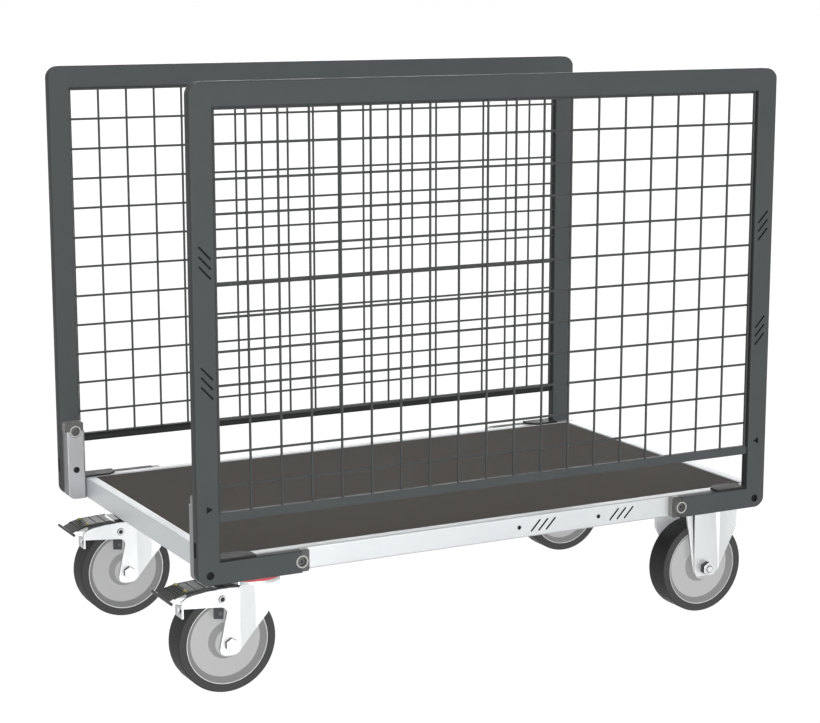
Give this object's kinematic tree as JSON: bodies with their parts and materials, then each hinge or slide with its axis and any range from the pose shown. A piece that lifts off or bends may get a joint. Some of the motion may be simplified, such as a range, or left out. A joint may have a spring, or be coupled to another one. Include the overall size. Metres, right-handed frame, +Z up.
{
  "type": "platform truck",
  "caption": "Low flat platform truck with open ends, a wire-mesh side panel along each long edge, fixed front casters and braked swivel rear casters.",
  "frame": {"origin": "middle of the truck's footprint on the floor", "axes": "+X towards the fixed-caster end, +Y to the left side, +Z up"},
  "size_m": [1.062, 0.636, 0.93],
  "materials": {
    "frame_paint": "satin grey powder coat",
    "wire_paint": "satin grey powder coat",
    "rail_zinc": "pale satin zinc",
    "zinc_steel": "galvanised",
    "deck": "dark coated board",
    "connector_metal": "cast, light grey",
    "screw_steel": "dark zinc",
    "bright_steel": "bright zinc",
    "fork_zinc": "pale zinc, satin",
    "seal": "matt",
    "tyre": "matt",
    "rim": "matt light grey",
    "lever_steel": "zinc",
    "pedal": "black satin"
  },
  "bodies": {
    "truck_frame": {"rear_end_rail": "zinc_steel", "front_end_rail": "zinc_steel", "right_side_rail": "rail_zinc", "left_side_rail": "rail_zinc", "cross_channels": "zinc_steel", "deck_board": "deck", "right_corner_socket": "zinc_steel", "left_corner_socket": "zinc_steel", "hook_plates": "frame_paint", "tube_connectors": "connector_metal", "connector_screws": "screw_steel", "right_rear_post": "frame_paint", "right_front_post": "frame_paint", "right_top_bar": "frame_paint", "right_lower_rail": "frame_paint", "right_rear_foot": "frame_paint", "right_front_foot": "frame_paint", "right_mesh": "wire_paint", "left_rear_post": "frame_paint", "left_front_post": "frame_paint", "left_top_bar": "frame_paint", "left_lower_rail": "frame_paint", "left_rear_foot": "frame_paint", "left_front_foot": "frame_paint", "left_mesh": "wire_paint", "caster_top_plates": "zinc_steel", "caster_bolts": "bright_steel", "swivel_seals": "seal", "king_bolts": "bright_steel", "right_fixed_fork": "fork_zinc", "left_fixed_fork": "fork_zinc", "fixed_axle_bolts": "bright_steel", "fixed_axle_nuts": "bright_steel", "fixed_sleeves": "bright_steel"},
    "right_front_wheel": {"right_front_tyre": "tyre", "right_front_rim": "rim"},
    "left_front_wheel": {"left_front_tyre": "tyre", "left_front_rim": "rim"},
    "right_swivel": {"right_swivel_fork": "fork_zinc", "right_rear_axle_bolt": "bright_steel", "right_rear_axle_nut": "bright_steel", "right_rear_sleeve": "bright_steel", "right_brake_pins": "bright_steel"},
    "right_rear_wheel": {"right_rear_tyre": "tyre", "right_rear_rim": "rim"},
    "right_brake": {"right_brake_lever": "lever_steel", "right_brake_pedal": "pedal"},
    "left_swivel": {"left_swivel_fork": "fork_zinc", "left_rear_axle_bolt": "bright_steel", "left_rear_axle_nut": "bright_steel", "left_rear_sleeve": "bright_steel", "left_brake_pins": "bright_steel"},
    "left_rear_wheel": {"left_rear_tyre": "tyre", "left_rear_rim": "rim"},
    "left_brake": {"left_brake_lever": "lever_steel", "left_brake_pedal": "pedal"}
  },
  "joints": [
    {"name": "right_front_roll", "type": "hinge", "parent": "truck_frame", "child": "right_front_wheel", "pos_m": [0.451, -0.221, 0.08], "axis": [0, 1, 0], "continuous": true},
    {"name": "left_front_roll", "type": "hinge", "parent": "truck_frame", "child": "left_front_wheel", "pos_m": [0.451, 0.221, 0.08], "axis": [0, 1, 0], "continuous": true},
    {"name": "right_swivel_turn", "type": "hinge", "parent": "truck_frame", "child": "right_swivel", "pos_m": [-0.382, -0.221, 0.1765], "axis": [0, 0, 1], "continuous": true},
    {"name": "right_rear_roll", "type": "hinge", "parent": "right_swivel", "child": "right_rear_wheel", "pos_m": [-0.432, -0.221, 0.08], "axis": [0, 1, 0], "continuous": true},
    {"name": "right_brake_press", "type": "hinge", "parent": "right_swivel", "child": "right_brake", "pos_m": [-0.4445, -0.221, 0.152], "axis": [0, -1, 0], "range_deg": [0, 10]},
    {"name": "left_swivel_turn", "type": "hinge", "parent": "truck_frame", "child": "left_swivel", "pos_m": [-0.382, 0.221, 0.1765], "axis": [0, 0, 1], "continuous": true},
    {"name": "left_rear_roll", "type": "hinge", "parent": "left_swivel", "child": "left_rear_wheel", "pos_m": [-0.432, 0.221, 0.08], "axis": [0, 1, 0], "continuous": true},
    {"name": "left_brake_press", "type": "hinge", "parent": "left_swivel", "child": "left_brake", "pos_m": [-0.4445, 0.221, 0.152], "axis": [0, -1, 0], "range_deg": [0, 10]}
  ]
}
